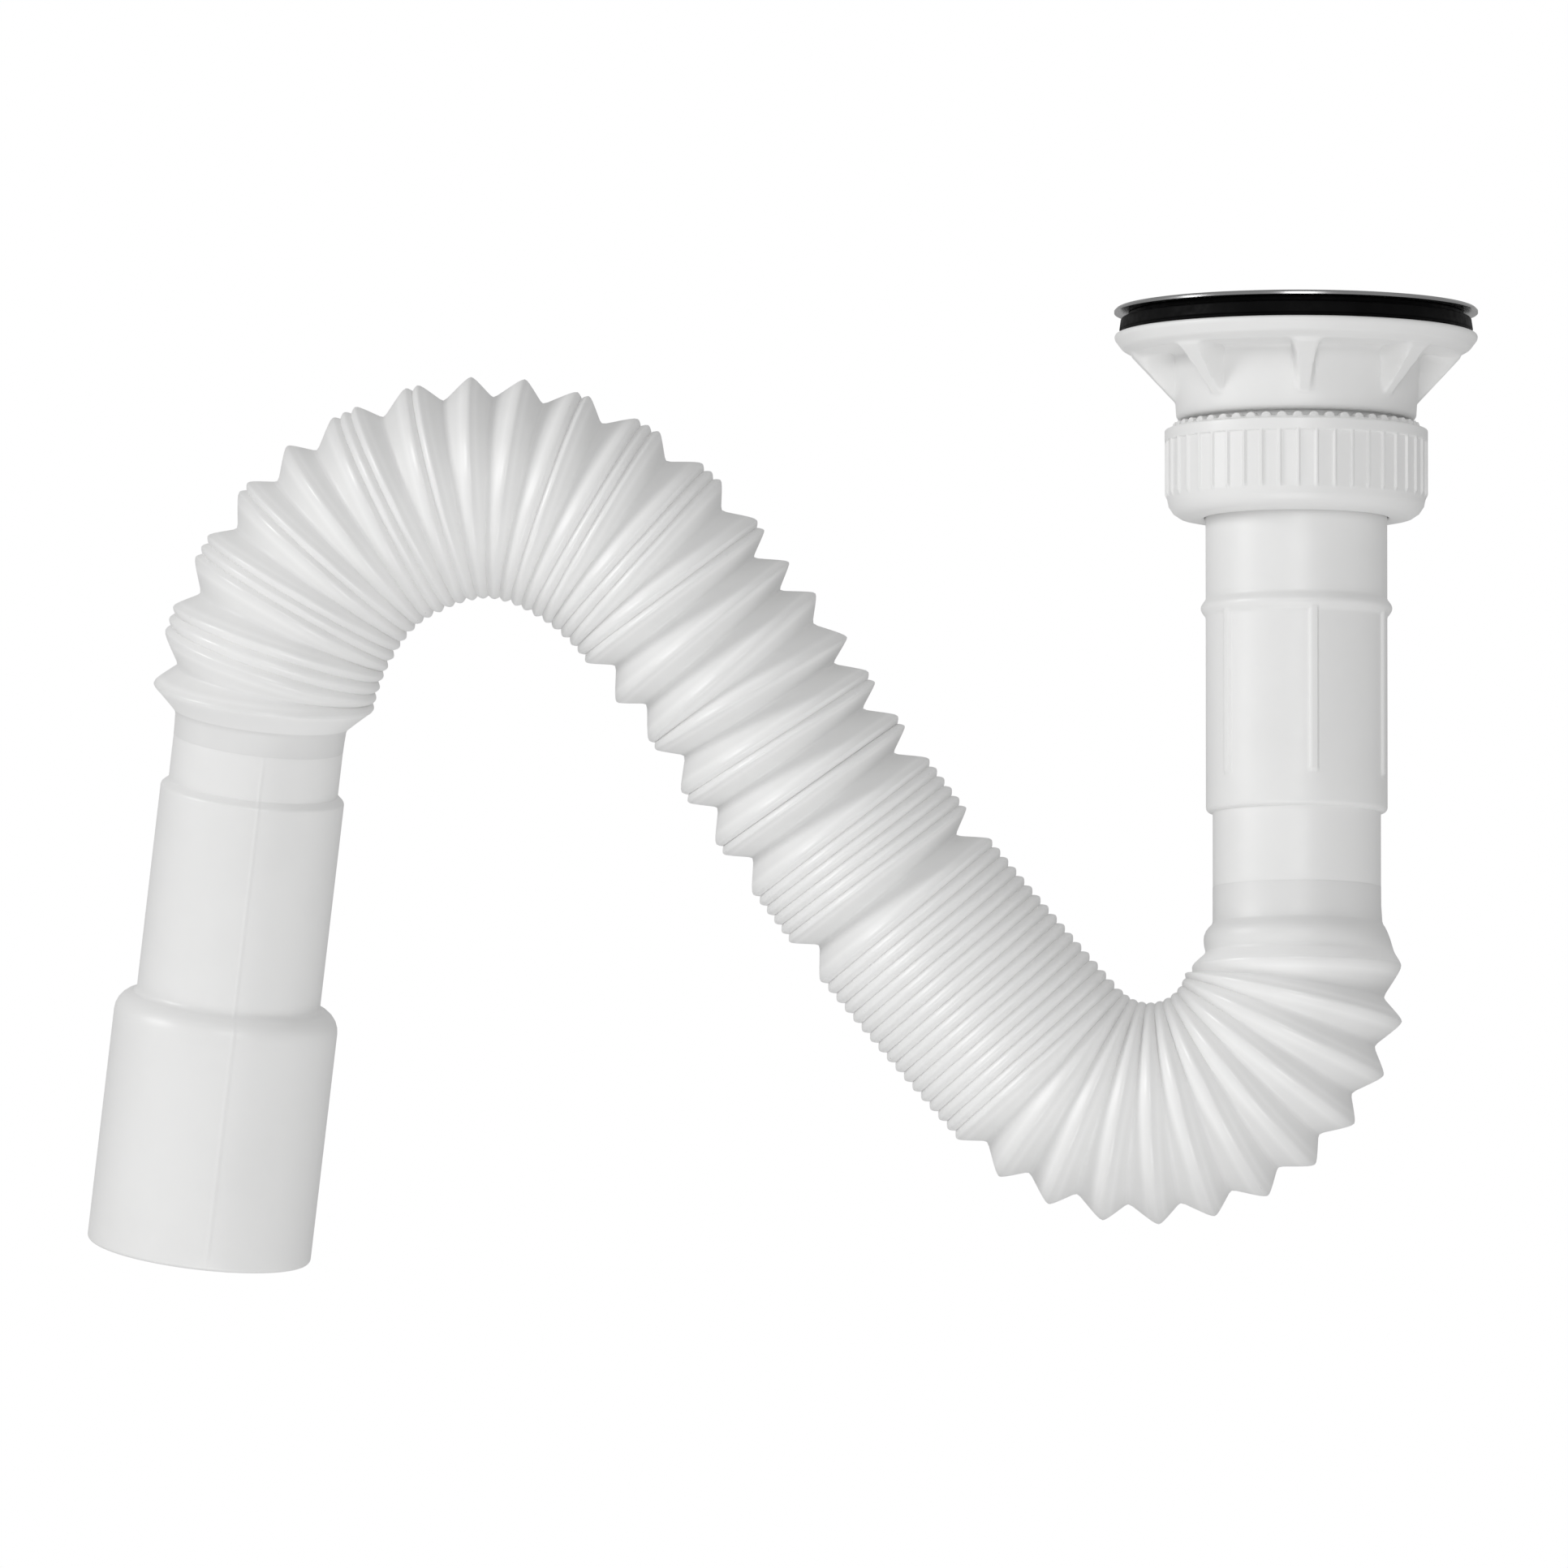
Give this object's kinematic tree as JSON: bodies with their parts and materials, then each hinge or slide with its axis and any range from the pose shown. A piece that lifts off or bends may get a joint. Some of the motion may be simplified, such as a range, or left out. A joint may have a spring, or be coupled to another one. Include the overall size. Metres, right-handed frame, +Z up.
{
  "type": "flexible basin waste",
  "caption": "Basin waste with a steel strainer, ribbed body, union nut and tail pipe, on a white bellows hose that arches over to a stepped outlet spigot.",
  "frame": {"origin": "on the tail's axis, at the underside of the steel flange, where the basin is clamped", "axes": "+Z up along the tail towards the basin, +X from the outlet side towards the tail, +Y away from the viewer of the picture"},
  "size_m": [0.3091, 0.1011, 0.2135],
  "materials": {
    "stainless_steel": "polished pressed sheet",
    "brass": "plain turned brass",
    "black_rubber": "smooth moulded rubber",
    "white_plastic": "satin white moulded plastic",
    "hose_plastic": "slightly translucent white blow-moulded plastic"
  },
  "bodies": {
    "waste": {"strainer_flange": "stainless_steel", "centre_screw": "stainless_steel", "screw_insert": "brass", "flange_gasket": "black_rubber", "basin_gasket": "black_rubber", "waste_body": "white_plastic"},
    "seal": {"tail_seal": "black_rubber"},
    "nut": {"union_nut": "white_plastic"},
    "tail": {"tail_pipe": "white_plastic"},
    "hose": {"bellows_hose": "hose_plastic"},
    "outlet": {"outlet_spigot": "white_plastic"}
  },
  "joints": [
    {"name": "tail_drop", "type": "slide", "parent": "waste", "child": "seal", "axis": [0, 0, -1], "range_m": [0, 0.00925]},
    {"name": "nut_turn", "type": "hinge", "parent": "seal", "child": "nut", "pos_m": [0, 0, -0.0247], "axis": [0, 0, -1], "range_deg": [0, 1440]},
    {"name": "tail_swivel", "type": "hinge", "parent": "seal", "child": "tail", "pos_m": [0, 0, -0.0418], "axis": [0, 0, 1], "continuous": true},
    {"name": "stack_stretch", "type": "slide", "parent": "tail", "child": "hose", "axis": [-0.6538, -0.0618, 0.7541], "range_m": [0, 0.05], "deforming": ["bellows_hose"]},
    {"name": "arch_bend", "type": "hinge", "parent": "hose", "child": "outlet", "pos_m": [-0.17874, 0.00049, -0.09231], "axis": [0.0505, 0.9909, 0.125], "range_deg": [-25, 25], "deforming": ["bellows_hose"]}
  ],
  "couplings": [
    {"joint": "tail_drop", "follows": "nut_turn", "m_per_rad": 0.00036749}
  ]
}
